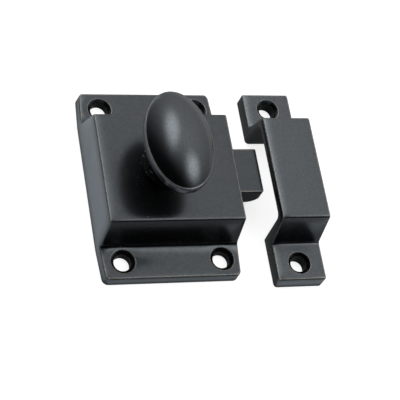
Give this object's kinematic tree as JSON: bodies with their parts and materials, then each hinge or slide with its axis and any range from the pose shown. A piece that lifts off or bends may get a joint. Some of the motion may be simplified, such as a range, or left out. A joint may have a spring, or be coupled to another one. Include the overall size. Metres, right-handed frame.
{
  "type": "cupboard catch latch",
  "caption": "Surface-mounted cupboard catch: cast case with an oval turn knob that draws back a sprung bolt, and a separate cast bridge strike.",
  "frame": {"origin": "centre of the case's back face, between its four screw holes", "axes": "+X towards the bolt's nose and the strike, +Y along the case, +Z out of the back face towards the knob"},
  "size_m": [0.0634, 0.0594, 0.0327],
  "materials": {
    "coated_casting": "satin black coating on a zinc casting",
    "coated_bolt": "satin black coating on a zinc casting, rubbed along its sliding faces",
    "coated_knob": "smooth semi-gloss black coating",
    "plated_steel": "zinc-plated sheet and turned steel",
    "spring_steel": "bright drawn wire and pins"
  },
  "bodies": {
    "case_body": {"case": "coated_casting", "back_plate": "plated_steel", "back_plate_screws": "plated_steel", "bolt_spring": "spring_steel", "spring_guide_pin": "spring_steel", "strike": "coated_casting"},
    "knob_body": {"knob": "coated_knob", "spindle": "plated_steel", "crank_plate": "plated_steel", "crank_pin": "spring_steel", "retaining_clip": "spring_steel"},
    "bolt_body": {"bolt": "coated_bolt"}
  },
  "joints": [
    {"name": "bolt_slide", "type": "slide", "parent": "case_body", "child": "bolt_body", "axis": [-1, 0, 0], "range_m": [0, 0.0072], "stiffness_N_per_m": 400, "springref_m": -0.006, "deforming": ["bolt_spring"]},
    {"name": "knob_turn", "type": "hinge", "parent": "case_body", "child": "knob_body", "pos_m": [-0.0016, 0, 0.0132], "axis": [0, 0, -1], "range_deg": [0, 70]}
  ],
  "couplings": [
    {"joint": "knob_turn", "follows": "bolt_slide", "rad_per_m": 169.68}
  ]
}
